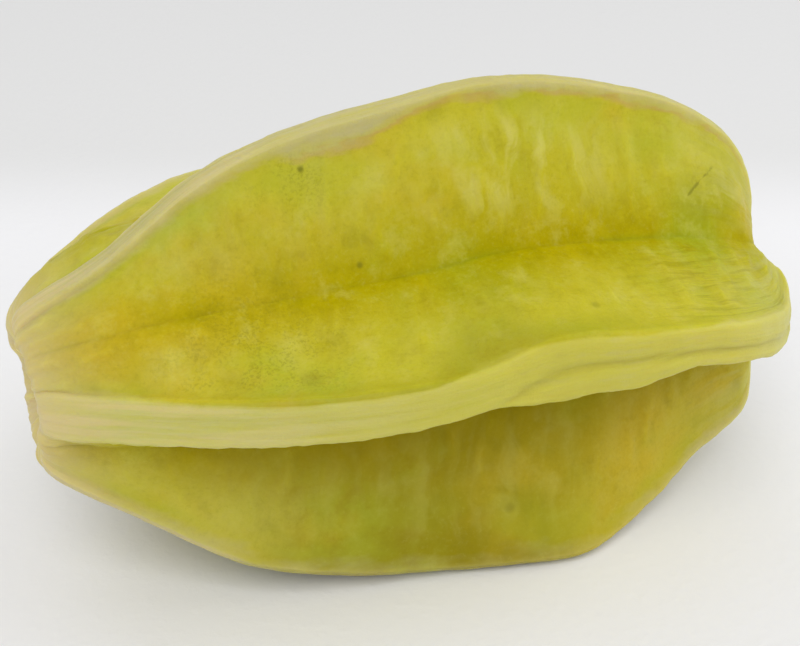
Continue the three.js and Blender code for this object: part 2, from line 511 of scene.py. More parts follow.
@dataclass(frozen=True)
class Relief:
    """The skin's ripples and creases: heights, lengths and edge_wander in millimetres.

    Each fineness is how often a pattern turns down a flank or over a crest, and each step is over
    the mesh's own measures: band, down and along.
    """

    seed: float = 3.0
    ripples: Grain = Grain(1.0, 1.5, 0.45)
    ripple_height: float = 1.5
    ripple_length: float = 6.5
    ripple_fineness: float = 1.6
    puckers: Grain = Grain()
    pucker_height: float = 0.45
    pucker_length: float = 3.0
    pucker_fineness: float = 2.4
    puckered: Step = (0.45, 0.75)
    bends: Grain = Grain(0.12, 1.0)
    bend: float = 1.5
    face_shift: float = 5.0
    off_crest: Step = (0, 0.35)
    off_groove: Step = (0.7, 1, 1, 0.3)
    wrinkles: Grain = Grain(1.0, 2.0, 0.55)
    wrinkle_height: float = 1.0
    wrinkle_length: float = 9.0
    wrinkle_fineness: float = 7.0
    wrinkled: Step = (0.66, 0.8)
    wrinkled_down: Step = (0.6, 1, 1, 0)
    dimples: Grain = Grain(1.0, 1.0)
    dimple_height: float = 0.3
    dimple_length: float = 3.4
    striations: Grain = Grain()
    striation_height: float = 0.7
    striation_length: float = 16.0
    striation_fineness: float = 3.2
    on_crest: Step = (0.7, 1.05, 1, 0)
    edge: Grain = Grain(1.0, 3.0, 0.6)
    edge_wander: float = 1.0
    edge_wander_length: float = 5.0
    edge_face_shift: float = 7.0
    near_edge: Hill = (0.45, 0.95, 1.0, 1.3)
    off_ends: Hill = (0.02, 0.06, 0.8, 0.88)

    def raise_skin(self, n: GrowthNodes, skin: Wire) -> Wire:
        """Moves the skin in and out by ripples, creases, dimples and fine lines along the crests.

        Args:
            n: The tree that makes the fruit.
            skin: The smooth skin.

        Returns:
            The skin with its relief.
        """
        seed = n.given("Seed", self.seed)
        ripple = n.given("Ripple Height", self.ripple_height * MM)
        pucker = n.given("Pucker Height", self.pucker_height * MM)
        wrinkle = n.given("Wrinkle Height", self.wrinkle_height * MM)
        dimple = n.given("Dimple Height", self.dimple_height * MM)
        edge_wander = n.given("Edge Wander", self.edge_wander * MM)
        striation = n.given("Striation Height", self.striation_height * MM)
        band, face, along = n.attribute("band"), n.attribute("face"), n.attribute("along")
        down = (band - 1).most(0)
        place = n.add("GeometryNodeInputPosition") / MM
        x, _, _ = n.parts(place)
        own_pattern = face * self.face_shift + seed
        on_flank = down.rise(*self.off_crest) * down.rise(*self.off_groove)

        across_flank = n.vector(x / self.ripple_length, down * self.ripple_fineness, own_pattern)
        ripples = self.ripples.swing(n, across_flank) * on_flank * ripple
        bend = self.bends.at(n, place) * self.bend
        down_flank = n.vector(x / self.pucker_length + bend, down * self.pucker_fineness, own_pattern)
        puckers = self.puckers.at(n, down_flank).rise(*self.puckered) * on_flank * pucker
        lengthwise = n.vector(x / self.wrinkle_length, down * self.wrinkle_fineness + bend, own_pattern)
        drawn_in = along.rise(*self.wrinkled) * down.rise(*self.wrinkled_down)
        wrinkles = self.wrinkles.swing(n, lengthwise) * drawn_in * wrinkle
        dimples = self.dimples.swing(n, place / self.dimple_length) * dimple
        over_crest = n.attribute("across") * self.striation_fineness
        lines = n.vector(x / self.striation_length, over_crest, seed)
        striations = self.striations.swing(n, lines) * band.rise(*self.on_crest) * striation
        edge_places = n.vector(x / self.edge_wander_length, face * self.edge_face_shift + seed, 0)
        wander = self.edge.swing(n, edge_places) * band.hill(*self.near_edge) * edge_wander

        height = ripples + puckers + wrinkles + dimples + striations + wander
        offset = n.add("GeometryNodeInputNormal") * (height * along.hill(*self.off_ends))
        return n.add("GeometryNodeSetPosition", None, {"Geometry": skin, "Offset": offset})


@dataclass
class FruitSkin:
    """The whole fruit: five ribs, the grooves between them and both drawn-in ends."""

    node: str = "star_fruit"
    stations: tuple[float, ...] = (-54.5, -56, -59.5, -48, -34, -20, -6, 6, 17, 28, 39, 49, 55, 52.5, 52)
    tip_station: int = 2
    shoulder_station: int = 12
    ribs: tuple[Rib, ...] = (
        Rib(
            turn=16, tip=0.4, shoulder=-0.7, lip=4.5,
            height=(0, 3.5, 12, 21.5, 28.5, 33, 35.5, 36, 35.5, 34, 31, 22.5, 12, 4, 0),
            sway=(0, 0, 0, -0.5, -1.5, -1.8, -0.8, 2.4, 1.6, 0.2, -1.6, -3, 0, 0, 0),
        ),
        Rib(
            turn=88, tip=-0.8, shoulder=-0.8, width=0.6,
            height=(0, 3.5, 12, 20.5, 30, 34, 36.6, 37.8, 37.1, 34.5, 30.5, 23.2, 12, 4, 0),
            sway=(0, 0, 0, -1.6, -0.7, 1.2, 0.7, 1.3, 1.1, 0.7, 0.4, 0.2, 0, 0, 0),
        ),
        Rib(
            turn=152, tip=-1.4, width=0.75,
            height=(0, 3.5, 12.5, 25, 32.2, 34.2, 35.5, 36, 35, 33, 30, 23, 12, 4, 0),
            sway=(0, 0, 0, 0.4, 0.2, -0.4, -0.6, 0, 0.6, 0.8, 0.4, 0, 0, 0, 0),
        ),
        Rib(
            turn=233, tip=-0.5, width=0.9,
            height=(0, 3.5, 11.5, 22.5, 30.5, 35.8, 38.2, 39, 38.7, 36, 30.5, 23, 12, 4, 0),
            sway=(0, 0, 0, 0, 0.5, 0.6, 0, -0.5, -0.4, 0.2, 0.5, 0, 0, 0, 0),
        ),
        Rib(
            turn=306, shoulder=-2.2, width=0.9, undercut=1,
            height=(0, 3.5, 11, 20.5, 30.2, 34.9, 37.3, 38.9, 39.2, 34.9, 28.6, 22.8, 11.5, 4, 0),
            sway=(0, 0, 0, 0, -0.5, -1, -0.7, 1.1, 2.2, 0.8, -0.4, 0, 0, 0, 0),
        ),
    )
    groove_stations: tuple[float, ...] = (
        -54.5, -56, -59.7, -49, -34, -20, -6, 6, 17, 28, 39, 48.5, 53.2, 52.4, 52,
    )
    groove_shares: tuple[float, ...] = (
        1, 1, 0.99, 0.87, 0.67, 0.57, 0.54, 0.53, 0.53, 0.53, 0.53, 0.55, 0.66, 1, 1,
    )
    blossom_half_width: float = 3.3
    stem_half_width: float = 2.0
    crest_narrows: Span = Span(-25, 50)
    crest_rounding: float = 1.3
    crest_rounding_power: int = 3
    full_height: float = 14.0
    least_sway_height: float = 10.0
    lip_opens: Span = Span(-6, 13)
    lip_thins: Span = Span(16, 12)
    lip_thinned: float = 0.5
    lip_closes: Span = Span(48, 8)
    lip_set_back: float = 0.22
    crease_depth: float = 0.6
    crease_per_lip: float = 0.3
    crease_width: float = 0.09
    shoulder_drop: float = 0.34
    shoulder_bulge: float = 0.1
    fillet_reach: float = 0.12
    fillet_lift: float = 0.05
    rest_flat: float = 0.6
    undercut_turn: float = 11.0
    undercut_deepening: float = 0.2
    undercut_opens: Span = Span(-66, 12)
    undercut_closes: Span = Span(40, 14)
    sections: int = 270
    crest_steps: int = 14
    flank_steps: int = 25
    merge_distance: float = 0.0001
    relief: Relief = Relief()

    def crest_at(self, rib: Rib, share: float) -> Crest:
        """Works out one rib's crest.

        Args:
            rib: The rib.
            share: How far along its outline the section is, 0 at the blossom scar, 1 at the stem.

        Returns:
            The crest at that section.
        """
        places = list(self.stations)
        places[self.tip_station] += rib.tip
        places[self.shoulder_station] += rib.shoulder
        knots = [Vector(knot) for knot in zip(places, rib.height, rib.sway)]
        place, height, sway = curve_point(knots, share)
        turn = math.radians(rib.turn)
        out, side = outwards(turn), sideways(turn)
        size = min(max(height / self.full_height, 0.0), 1.0)
        half_width = self.crest_narrows.rise(place, self.blossom_half_width, self.stem_half_width)
        half_width *= rib.width * size
        rounding = self.crest_rounding * size
        lip = rib.lip * self.lip_opens.rise(place) * self.lip_closes.rise(place, 1, 0)
        lip = min(lip * self.lip_thins.rise(place, 1, self.lip_thinned), height)
        middle = Vector((place, 0, 0)) + out * (height - rounding) + side * sway
        return Crest(
            height=height,
            heading=turn + sway / max(height, self.least_sway_height),
            out=out,
            side=side,
            lower=middle - side * (half_width + lip) - out * (lip * self.lip_set_back),
            upper=middle + side * half_width,
            rounding=rounding,
            crease_at=lip / max(2 * half_width + lip, 1),
            crease_depth=min(self.crease_depth, lip * self.crease_per_lip),
        )

    def groove_after(self, rib: Rib, crest: Crest, following: Crest, place: float, share: float) -> Groove:
        """Works out the groove between a rib and the next.

        Args:
            rib: The rib.
            crest: Its crest.
            following: The next rib's crest.
            place: Where the section cuts the groove, in millimetres along the fruit.
            share: The groove's distance from the axis, as a share of the crests' height.

        Returns:
            The groove at that section.
        """
        cut = rib.undercut * self.undercut_opens.rise(place) * self.undercut_closes.rise(place, 1, 0)
        wrap = 2 * math.pi if following.heading < crest.heading else 0
        heading = (crest.heading + following.heading + wrap) / 2
        heading += math.radians(self.undercut_turn * cut)
        radius = (crest.height + following.height) / 2 * min(share, 1)
        radius *= 1 - self.undercut_deepening * cut
        out = outwards(heading)
        return Groove(Vector((place, 0, 0)) + out * radius, radius, out, sideways(heading))

    def guides(self) -> bpy.types.Object:
        """Makes the guide points: one for each rib at each section, with its section's shape.

        Returns:
            The object that holds them.
        """
        groove_knots = [Vector((*knot, 0)) for knot in zip(self.groove_stations, self.groove_shares)]
        names = ("lower", "upper", "out", "side", "groove", "groove_out", "groove_side", "sizes")
        rows: list[tuple[Vector, ...]] = []
        creases: list[float] = []
        for section in range(self.sections + 1):
            share = section / self.sections
            crests = [self.crest_at(rib, share) for rib in self.ribs]
            place, depth_share, _ = curve_point(groove_knots, share)
            for rib, crest, following in zip(self.ribs, crests, crests[1:] + crests[:1]):
                groove = self.groove_after(rib, crest, following, place, depth_share)
                sizes = Vector((groove.radius, crest.rounding, crest.crease_depth)) * MM
                ends = crest.lower * MM, crest.upper * MM, crest.out, crest.side
                rows.append((*ends, groove.point * MM, groove.out, groove.side, sizes))
                creases.append(crest.crease_at)
        mesh = bpy.data.meshes.new("rib_guides")
        mesh.from_pydata([tuple(row[names.index("upper")]) for row in rows], [], [])
        for name, values in zip(names, zip(*rows)):
            layer = mesh.attributes.new(name, "FLOAT_VECTOR", "POINT")
            layer.data.foreach_set("vector", [number for value in values for number in value])
        layer = mesh.attributes.new("crease_at", "FLOAT", "POINT")
        layer.data.foreach_set("value", creases)
        return new_object("rib_guides", mesh)

    def flank_place(self, grid: SkinGrid) -> Wire:
        """Draws the flanks, on a curve from the crest's edge to the groove.

        Args:
            grid: The sheet that the skin is drawn from.

        Returns:
            The place of each of its points, down a flank.
        """
        n = grid.n
        out, side = grid.guide("out", grid.own_row), grid.guide("side", grid.own_row)
        groove = grid.guide("groove", grid.groove_row)
        radius, _, _ = n.parts(grid.guide("sizes", grid.groove_row))
        lower, upper = grid.guide("lower", grid.own_row), grid.guide("upper", grid.own_row)
        edge = n.blend(lower, upper, grid.upper_half)
        depth = (edge - groove).dot(out).most(0)
        drop = n.given("Shoulder Drop", self.shoulder_drop)
        bulge = n.given("Shoulder Bulge", self.shoulder_bulge)
        reach = n.given("Fillet Reach", self.fillet_reach)
        lift = n.given("Fillet Lift", self.fillet_lift)
        shoulder = edge - out * (depth * drop) + side * (depth * bulge * grid.towards)
        inwards = grid.guide("groove_side", grid.groove_row) * (radius * reach * grid.towards)
        fillet = groove - inwards + grid.guide("groove_out", grid.groove_row) * (radius * lift)
        down, up = grid.down, 1 - grid.down
        return (
            edge * up**3
            + shoulder * (3 * down * up**2)
            + fillet * (3 * down**2 * up)
            + groove * down**3
        )

    def loft(self, skin: bpy.types.Material) -> GrowthNodes:
        """Builds the tree that draws the skin over the guides and gives it its relief.

        Args:
            skin: The skin's material.

        Returns:
            The tree, ready to be applied to the guides.
        """
        n = GrowthNodes("loft_skin")
        grid = SkinGrid(n, self.sections, len(self.ribs), self.crest_steps, self.flank_steps)
        lower, upper = grid.guide("lower", grid.own_row), grid.guide("upper", grid.own_row)
        _, rounding, crease_depth = n.parts(grid.guide("sizes", grid.own_row))
        across = 0 - (grid.over * math.pi).does("COSINE")
        crest_share = (across + 1) / 2
        power = self.crest_rounding_power
        crown = rounding * (1 - across.does("ABSOLUTE") ** power).most(0) ** (1 / power)
        from_crease = crest_share - grid.guide("crease_at", grid.own_row, "FLOAT")
        from_crease = from_crease / self.crease_width
        crease = crease_depth * (0 - from_crease * from_crease).does("EXPONENT")
        out = grid.guide("out", grid.own_row)
        crest = n.blend(lower, upper, crest_share, "VECTOR") + out * (crown - crease)
        on_flank = grid.on_flank
        on_crest = 1 - on_flank
        place = n.blend(crest, self.flank_place(grid), on_flank)

        past_edge = (grid.down + 1) * on_flank
        kept = {
            "band": across.does("ABSOLUTE") * on_crest + past_edge,
            "across": across * on_crest + grid.towards * past_edge,
            "face": grid.rib * 2 + grid.upper_half,
            "along": grid.along,
            "folded": crease / (self.crease_depth * MM) * on_crest,
        }
        sheet = grid.sheet
        for name, value in kept.items():
            sheet = n.store(sheet, name, value)
        drawn = n.add("GeometryNodeSetPosition", None, {"Geometry": sheet, "Position": place})
        merging = {"Geometry": drawn, "Distance": self.merge_distance * MM}
        closed = n.add("GeometryNodeMergeByDistance", None, merging)
        n.finish(self.lie_down(n, self.relief.raise_skin(n, closed)), skin)
        return n

    def lie_down(self, n: GrowthNodes, skin: Wire) -> Wire:
        """Presses the lowest crests flat and stands the fruit on z = 0, centred.

        Args:
            n: The tree that makes the fruit.
            skin: The skin with its relief.

        Returns:
            The skin where it lies.
        """
        flat = n.given("Rest Flat", self.rest_flat * MM)
        lowest = n.add("GeometryNodeBoundBox", None, {"Geometry": skin}, "Min")
        ground = n.parts(lowest)[2] + flat
        x, y, z = n.parts(n.add("GeometryNodeInputPosition"))
        sockets = {"Geometry": skin, "Position": n.vector(x, y, z.most(ground))}
        pressed = n.add("GeometryNodeSetPosition", None, sockets)
        box = n.make("GeometryNodeBoundBox", None, {"Geometry": pressed})
        low, high = Wire(n, box.outputs["Min"]), Wire(n, box.outputs["Max"])
        middle_x, middle_y, _ = n.parts((low + high) * 0.5)
        middle = n.vector(middle_x, middle_y, ground)
        sockets = {"Geometry": pressed, "Offset": middle * -1}
        return n.add("GeometryNodeSetPosition", None, sockets)

    def build(self, skin: bpy.types.Material) -> bpy.types.Object:
        """Grows the fruit's mesh and dresses it in its skin."""
        return self.loft(skin).apply_to(self.guides(), f"{self.node}_skin")


@dataclass(frozen=True)
class Mark:
    """A soft-edged spot on the skin: its middle and radius in millimetres, and how strong it is."""

    place: tuple[float, float, float]
    radius: float
    strength: float = 1.0


class Flank(IntEnum):
    """The flanks that have looks of their own.

    Each is numbered as the mesh numbers them: twice its rib's number, plus 1 on the side nearer
    the next rib.
    """

    FRONT_UPPER = 1
    TOP_NEAR = 2
    FOOT_NEAR = 9


class ShaderNodes(Nodes):
    """A material's node tree, with the nodes that the finishes share."""

    def __init__(self, name: str) -> None:
        """Makes an empty material.

        Args:
            name: The material's name.
        """
        self.material = bpy.data.materials.new(name)
        self.material.use_nodes = True
        super().__init__(self.material.node_tree)
        self.tree.nodes.clear()

    def attribute(self, name: str) -> Wire:
        """Reads a number kept on the mesh."""
        return self.add("ShaderNodeAttribute", {"attribute_name": name}, None, "Fac")

    def place(self) -> Wire:
        """Returns the point on the object, in millimetres."""
        return self.add("ShaderNodeTexCoord", None, None, "Object") * (1 / MM)

    def tint(self, colour: Link, other: Link, share: Link) -> Wire:
        """Blends a colour towards another by a share."""
        return self.blend(colour, other, share, "RGBA")

    def bump(self, height: Wire, strength: float, distance: float) -> Wire:
        """Returns the normal of a surface raised by height, with the bump's depth in metres."""
        sockets = {"Strength": strength, "Distance": distance, "Height": height}
        return self.add("ShaderNodeBump", None, sockets)

    def finish(self, sockets: dict[str, Any]) -> bpy.types.Material:
        """Ends the tree with a Principled BSDF.

        Args:
            sockets: The values or links of its inputs, by name.

        Returns:
            The finished material.
        """
        shader = self.make("ShaderNodeBsdfPrincipled", None, sockets)
        end = self.make("ShaderNodeOutputMaterial")
        self.tree.links.new(shader.outputs[0], end.inputs["Surface"])
        return self.material


class SkinPoint:
    """Where a point lies on the skin, and the patterns that more than one layer reads there.

    place is in millimetres. band is 0 on a crest's middle, 1 at its edges and 2 in the grooves;
    down runs from 0 at a crest's edge to 1 in the groove; across from -1 to 1 over a crest; along
    from 0 at the blossom end to 1 at the stem end; face is the flank's number.
    """

    streaky: Grain = Grain()
    streak_fineness: Pair = (9, 2.4)
    lined: Grain = Grain(1.0, 2.0, 0.6)
    line_fineness: Pair = (26, 5)
    line_shift: float = 3.0
    crease_fineness: Pair = (16, 17)
    creases_along: Hill = (0.56, 0.7, 0.77, 0.83)
    creases_down: Step = (0.6, 1, 1, 0)
    creases_elsewhere: float = 0.2

    def __init__(self, n: ShaderNodes) -> None:
        """Reads the point's measures.

        Args:
            n: The material's nodes.
        """
        self.n = n
        self.place = n.place()
        self.x, _, self.z = n.parts(self.place)
        self.band, self.along, self.face = (n.attribute(name) for name in ("band", "along", "face"))
        self.across, self.folded = n.attribute("across"), n.attribute("folded")
        self.down = (self.band - 1).most(0)

    def on(self, flank: Flank) -> Wire:
        """Returns 1 on that flank, else 0."""
        return (1 - (self.face - int(flank)).does("ABSOLUTE")).most(0)

    def over_crest(self, fineness: Pair, shift: Link) -> Wire:
        """Returns the place for a pattern drawn out along the fruit, so many times each way."""
        return self.n.vector(self.along * fineness[0], self.across * fineness[1], shift)

    def streaks(self) -> Wire:
        """Returns broad streaks along the crests, 0 to 1."""
        return self.streaky.at(self.n, self.over_crest(self.streak_fineness, 0.0))

    def lines(self) -> Wire:
        """Returns fine lines along the crests, 0 to 1."""
        return self.lined.at(self.n, self.over_crest(self.line_fineness, self.line_shift))

    def creases(self) -> Wire:
        """Returns the creases that draw in to the stem, 0 to 1."""
        return self.lined.at(self.n, self.over_crest(self.crease_fineness, self.face))

    def creased(self) -> Wire:
        """Returns how strong those creases are, most of all on the front rib."""
        near_stem = self.along.hill(*self.creases_along) * self.down.rise(*self.creases_down)
        return near_stem * self.on(Flank.FRONT_UPPER).most(self.creases_elsewhere)

    def spots(self, marks: Sequence[Mark]) -> Link:
        """Lays soft-edged marks.

        Args:
            marks: The marks.

        Returns:
            The strongest mark's strength there, fading to 0 at its edge.
        """
        found: Link = 0.0
        for mark in marks:
            sockets = {0: self.place, 1: mark.place}
            away = self.n.add("ShaderNodeVectorMath", {"operation": "DISTANCE"}, sockets, "Value")
            found = away.rise(mark.radius * SPOT_CORE, mark.radius, mark.strength, 0).most(found)
        return found


@dataclass(frozen=True)
class Pigments:
    """The skin's colours, linear."""

    flank: Colour = (0.520, 0.470, 0.024, 1)
    # groove: painted shade, the grooves' darker, deeper yellow
    groove: Colour = (0.43, 0.355, 0.0, 1)
    crest: Colour = (0.52, 0.50, 0.17, 1)
    belly_crest: Colour = (0.525, 0.485, 0.085, 1)
    stem_crest: Colour = (0.54, 0.505, 0.13, 1)
    far_crest: Colour = (0.50, 0.455, 0.22, 1)
    golden: Colour = (0.54, 0.40, 0.020, 1)
    green: Colour = (0.39, 0.425, 0.022, 1)
    # olive: painted shade on the underside, beside the front crest and in the shoulders' creases; also the
    # skin's own clouds and grain
    olive: Colour = (0.24, 0.21, 0.0, 1)
    # shade: painted shade, brown, on the foot rib's flank under the front rib
    shade: Colour = (0.34, 0.26, 0.0, 1)
    vein: Colour = (0.60, 0.555, 0.13, 1)
    rim: Colour = (0.50, 0.31, 0.05, 1)
    speck: Colour = (0.17, 0.17, 0.01, 1)
    blossom: Colour = (0.64, 0.52, 0.25, 1)
    # crease: painted shade along the grooves' bottoms; also the deep patches
    crease: Colour = (0.30, 0.33, 0.004, 1)
    # fold: painted shade in the fold under the front crest
    fold: Colour = (0.40, 0.34, 0.03, 1)
    scar: Colour = (0.16, 0.10, 0.035, 1)


@dataclass(frozen=True)
class Layer:
    """One layer of the skin's colours.

    Marks and steps of x and z are in millimetres, where the fruit lies. Other steps are in the
    mesh's own measures, or in a noise's, from 0 to 1, and their heights are strengths.
    """

    hues: Pigments = Pigments()

    def coats(self, p: SkinPoint) -> Coats:
        """Lists this layer's coats, in the order that they are laid.

        Args:
            p: The point on the skin.

        Yields:
            Each coat's colour, and how strong it is there.
        """
        raise NotImplementedError

    def lay(self, p: SkinPoint, colour: Link) -> Link:
        """Lays this layer.

        Args:
            p: The point on the skin.
            colour: The colour so far.

        Returns:
            The colour with this layer's coats over it.
        """
        for pigment, strength in self.coats(p):
            colour = p.n.tint(colour, pigment, strength)
        return colour


@dataclass(frozen=True)
class Ground(Layer):
    """The plain colours of the flanks, with painted shade: the deeper grooves, the shaded underside and foot
    flank.
    """

    warp: Grain = Grain(0.09)
    warp_width: float = 0.3
    grooves: Step = (0.22, 0.92)
    underside: Step = (2, 30, 1, 0)
    blossom_half: Step = (-40, -12, 0.25, 1)
    stem_half: Step = (6, 30, 1, 0.25)
    painted_shade_down: Step = (0.3, 1, 0.12, 0.67)
    middle: float = 8.0
    painted_shade_middle: Step = (8, 40, 0.33, 0)
    painted_shade_opens: Step = (-46, -24, 0.45, 1)
    groove_shade_line: Step = (0.88, 1.0, 0, 0.4)
    breaks: Grain = Grain((0.06, 0.1, 0.1))
    unbroken: Step = (0.35, 0.6)

    def coats(self, p: SkinPoint) -> Coats:
        """Paints shade over the flanks' own colour.

        Args:
            p: The point on the skin.

        Yields:
            The painted shade in the grooves, on the underside and foot flank, and along the grooves.
        """
        n, hues = p.n, self.hues
        warp = self.warp.swing(n, p.place) * self.warp_width
        # Painted shade: darker, deeper yellow towards each groove's bottom.
        yield hues.groove, (p.down + warp).rise(*self.grooves)
        # Painted shade: olive on the underside, darker towards the bottom, less towards both ends.
        off_ends = p.x.rise(*self.blossom_half).least(p.x.rise(*self.stem_half))
        yield hues.olive, p.z.rise(*self.underside) * off_ends
        # Painted shade on the foot rib's flank, under the front rib.
        off_middle = (p.x - self.middle).does("ABSOLUTE")
        painted_shade = p.down.rise(*self.painted_shade_down) + off_middle.rise(*self.painted_shade_middle)
        painted_shade *= p.x.rise(*self.painted_shade_opens) * p.on(Flank.FOOT_NEAR)
        yield hues.shade, painted_shade
        # Painted shade: a broken line along each groove's bottom.
        unbroken = self.breaks.at(n, p.place).rise(*self.unbroken)
        yield hues.crease, p.down.rise(*self.groove_shade_line) * unbroken


@dataclass(frozen=True)
class Patches(Layer):
    """Green, golden and deep patches, painted light low on the foot flank, soft clouds and fine grain."""

    green: tuple[Mark, ...] = (
        Mark((-28.5, -22.8, 41.1), 9, 0.7),
        Mark((-33.8, -4.0, 55.6), 10, 0.8),
        Mark((-22.0, -26.5, 40.8), 8, 0.8),
        Mark((41.0, -11.9, 43.2), 10, 0.8),
        Mark((37.4, -1.8, 58.9), 8, 0.5),
        Mark((-17.0, -17.8, 12.5), 12, 0.5),
    )
    golden: tuple[Mark, ...] = (
        Mark((-46.2, -11.8, 44.4), 11, 0.7),
        Mark((31.2, -17.5, 15.6), 17, 0.9),
        Mark((45.5, -14, 16), 12, 0.95),
        Mark((22, -22, 6), 12, 0.5),
    )
    deep: tuple[Mark, ...] = (
        Mark((42.5, -7.5, 46), 9, 0.65),
        Mark((48, -5, 47.5), 8, 0.55),
        Mark((-22, -5.5, 54), 16, 0.15),
        Mark((6, -15.5, 45.5), 12, 0.35),
    )
    # Painted light: paler patches low on the foot rib's flank, where light from the floor falls.
    painted_floor_light: tuple[Mark, ...] = (
        Mark((-32, -15, 16), 16, 0.28),
        Mark((-44.4, -13.2, 24.8), 9, 0.25),
    )
    ripeness: Grain = Grain((0.045, 0.06, 0.06), 3.0, 0.55)
    ripe: Step = (0.5, 0.72, 0, 0.55)
    unripe: Step = (0.3, 0.5, 0.5, 0)
    clouds: Grain = Grain(0.2, 4.0, 0.68)
    green_clouds: Step = (0.25, 0.6)
    dark_clouds: Step = (0.3, 0.5, 0.24, 0)
    pale_clouds: Step = (0.5, 0.72, 0, 0.31)
    painted_light_height: Step = (15, 35, 0.4, 1)
    grain: Grain = Grain(1.3, 3.0, 0.7)
    pale_grain: Step = (0.5, 0.8, 0, 0.16)
    dark_grain: Step = (0.25, 0.5, 0.2, 0)

    def coats(self, p: SkinPoint) -> Coats:
        """Lays patches at random and in their own places.

        Args:
            p: The point on the skin.

        Yields:
            Their coats, from the broadest to the finest.
        """
        n, hues = p.n, self.hues
        ripeness = self.ripeness.at(n, p.place)
        cloud, grain = self.clouds.at(n, p.place), self.grain.at(n, p.place)
        green = ripeness.rise(*self.unripe).most(p.spots(self.green))
        yield hues.green, green * cloud.rise(*self.green_clouds)
        yield hues.golden, ripeness.rise(*self.ripe).most(p.spots(self.golden))
        yield hues.crease, p.spots(self.deep)
        # Painted light from the floor, paler low on the foot flank.
        yield hues.vein, p.spots(self.painted_floor_light)
        yield hues.olive, cloud.rise(*self.dark_clouds)
        # Painted light: the pale clouds fade towards the bottom.
        yield hues.vein, cloud.rise(*self.pale_clouds) * p.z.rise(*self.painted_light_height)
        yield hues.vein, grain.rise(*self.pale_grain)
        yield hues.olive, grain.rise(*self.dark_grain)


@dataclass(frozen=True)
class Overhang(Layer):
    """The painted shade on the flank that the front rib hangs over."""

    down: Step = (0.3, 0.6, 0, 0.55)
    opens: Step = (0.2, 0.3)
    eases: Step = (0.42, 0.5, 1, 0.65)
    eases_further: Step = (0.6, 0.7, 0, 0.3)

    def coats(self, p: SkinPoint) -> Coats:
        """Paints shade on that flank.

        Args:
            p: The point on the skin.

        Yields:
            Its one coat.
        """
        left = p.along.rise(*self.eases) - p.along.rise(*self.eases_further)
        painted_shade = p.down.rise(*self.down) * p.along.rise(*self.opens) * left
        # Painted shade where the front rib overhangs the foot flank.
        yield self.hues.shade, painted_shade * p.on(Flank.FOOT_NEAR)


@dataclass(frozen=True)
class Veins(Layer):
    """Soft pale strokes down the flanks, from the crests towards the grooves."""

    # Partly painted light: the first mark, high on the top rib, also paints a soft sheen there.
    strokes_and_sheen: tuple[Mark, ...] = (
        Mark((15, -3.6, 59), 22, 0.6),
        Mark((3, -17.2, 19.5), 24, 0.12),
    )
    elsewhere: float = 0.12
    grain: Grain = Grain(1.0, 3.0, 0.55)
    bends: Grain = Grain(0.12)
    bend: float = 2.2
    width: float = 3.4
    fineness: float = 2.6
    face_shift: float = 5.0
    strokes: Step = (0.42, 0.68)
    down: Hill = (0.02, 0.25, 0.45, 0.85)
    off_shoulder: Step = (0.7, 0.82, 1, 0)

    def coats(self, p: SkinPoint) -> Coats:
        """Draws the strokes.

        Args:
            p: The point on the skin.

        Yields:
            Their one coat.
        """
        n = p.n
        bend = self.bends.at(n, p.place) * self.bend
        where = n.vector(p.x / self.width + bend, p.down * self.fineness + bend, p.face * self.face_shift)
        strokes = self.grain.at(n, where).rise(*self.strokes)
        on_face = p.down.hill(*self.down) * p.along.rise(*self.off_shoulder)
        # Partly painted sheen where the first mark lies.
        strength = p.spots(self.strokes_and_sheen) + self.elsewhere
        yield self.hues.vein, strokes * on_face * strength


